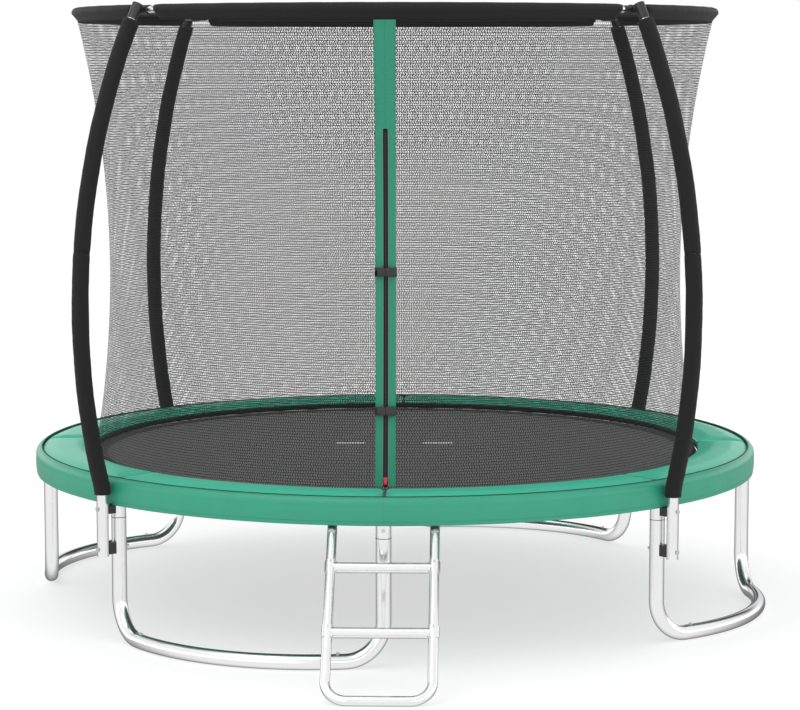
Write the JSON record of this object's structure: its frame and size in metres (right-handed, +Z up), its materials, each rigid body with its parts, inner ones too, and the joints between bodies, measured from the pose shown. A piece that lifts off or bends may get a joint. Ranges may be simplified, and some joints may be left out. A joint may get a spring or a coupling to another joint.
{
  "type": "garden trampoline",
  "caption": "Round garden trampoline on tubular steel legs, with a green spring pad, a curved-pole safety net with a zipped door and a hook-on ladder.",
  "frame": {"origin": "on the ground, on the trampoline's own vertical axis", "axes": "+Z up, -Y towards the door and the ladder, +X to the right of someone inside who faces away from the door"},
  "size_m": [2.538, 2.9779, 2.0346],
  "materials": {
    "steel": "bright galvanised, satin",
    "screw": "zinc plated",
    "mat": "tightly woven, matt",
    "webbing": "woven webbing",
    "pad": "coated fabric with a soft sheen",
    "plastic": "moulded, matt",
    "foam": "foam in a matt woven cover",
    "sleeve": "padded matt cloth",
    "net": "open knitted mesh",
    "strip": "woven webbing",
    "slider": "enamelled"
  },
  "bodies": {
    "frame": {"frame_rail_1": "steel", "frame_rail_2": "steel", "frame_rail_3": "steel", "frame_rail_4": "steel", "frame_rail_5": "steel", "frame_rail_6": "steel", "frame_rail_7": "steel", "frame_rail_8": "steel", "leg_upright_1": "steel", "leg_upright_2": "steel", "leg_upright_3": "steel", "leg_upright_4": "steel", "leg_upright_5": "steel", "leg_upright_6": "steel", "leg_upright_7": "steel", "leg_upright_8": "steel", "leg_foot_1": "steel", "leg_foot_2": "steel", "leg_foot_3": "steel", "leg_foot_4": "steel", "frame_screws": "screw", "springs": "screw", "spring_pad": "pad", "pad_skirt": "pad", "pole_lower_1": "steel", "pole_lower_2": "steel", "pole_lower_3": "steel", "pole_lower_4": "steel", "pole_upper_1": "steel", "pole_upper_2": "steel", "pole_upper_3": "steel", "pole_upper_4": "steel", "pole_spacers": "plastic", "pole_bolts": "screw", "pole_nuts": "screw", "foam_lower": "foam", "foam_upper": "foam", "pole_caps": "plastic", "hoop_tube_1": "steel", "hoop_tube_2": "steel", "hoop_tube_3": "steel", "hoop_tube_4": "steel", "hoop_screws": "screw", "hoop_sleeves": "sleeve", "net": "net", "door_strips": "strip", "zip_tape": "webbing", "buckle_sockets": "plastic", "buckle_straps": "webbing"},
    "mat": {"jump_mat": "mat", "mat_hem": "webbing", "v_rings": "screw"},
    "zip_slider": {"zip_slider": "slider"},
    "buckle_plug_low": {"buckle_plug_low": "plastic"},
    "buckle_plug_high": {"buckle_plug_high": "plastic"},
    "ladder": {"ladder_frame": "steel", "ladder_steps": "steel", "ladder_hooks": "screw", "ladder_rivets": "screw"}
  },
  "joints": [
    {"name": "mat_bounce", "type": "slide", "parent": "frame", "child": "mat", "axis": [0, 0, 1], "range_m": [-0.12, 0], "stiffness_N_per_m": 5000, "springref_m": 0.03, "deforming": ["springs"]},
    {"name": "zip_slide", "type": "hinge", "parent": "frame", "child": "zip_slider", "pos_m": [0, -4.54393, 1.14587], "axis": [1, 0, 0], "range_deg": [0, 17.45]},
    {"name": "buckle_low_release", "type": "slide", "parent": "frame", "child": "buckle_plug_low", "axis": [1, 0, 0], "range_m": [0, 0.03]},
    {"name": "buckle_high_release", "type": "slide", "parent": "frame", "child": "buckle_plug_high", "axis": [1, 0, 0], "range_m": [0, 0.03]},
    {"name": "ladder_tilt", "type": "hinge", "parent": "frame", "child": "ladder", "pos_m": [0, -1.20185, 0.485], "axis": [-1, 0, 0], "range_deg": [0, 10]}
  ]
}
